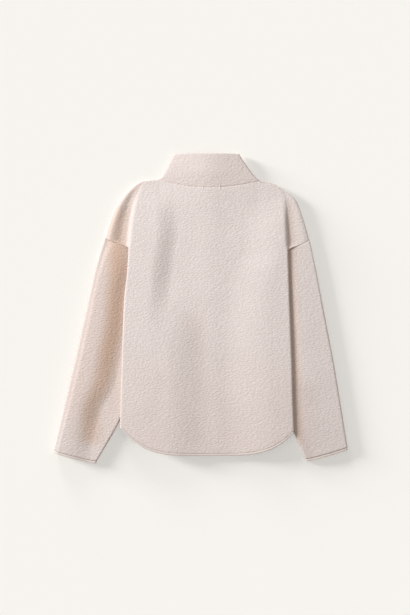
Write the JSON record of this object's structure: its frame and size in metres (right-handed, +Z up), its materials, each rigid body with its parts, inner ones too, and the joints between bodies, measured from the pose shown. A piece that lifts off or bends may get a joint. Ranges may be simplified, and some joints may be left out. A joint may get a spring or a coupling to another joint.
{
  "type": "cardigan",
  "caption": "Short pale pink teddy-fleece cardigan with a stand collar, dropped shoulders and a curved hem, laid face down with its sleeves tucked in.",
  "frame": {"origin": "on the surface the garment lies on, under the middle of its bounding box", "axes": "+X toward the wearer's right, +Y toward the collar, +Z up off the surface, out of the garment's back"},
  "size_m": [0.704, 0.7416, 0.0205],
  "materials": {
    "fleece": "matte boucle pile",
    "binding": "smooth matte",
    "zip_tape": "woven matte",
    "zip_metal": "satin"
  },
  "bodies": {
    "root": {"back": "fleece", "front_left": "fleece", "front_right": "fleece", "sleeve_left": "fleece", "sleeve_right": "fleece", "collar": "fleece", "hem_binding": "binding", "cuff_binding_left": "binding", "cuff_binding_right": "binding", "zip_left": "zip_tape", "zip_right": "zip_tape", "zip_slider": "zip_metal", "zip_pull": "zip_metal"}
  },
  "joints": []
}
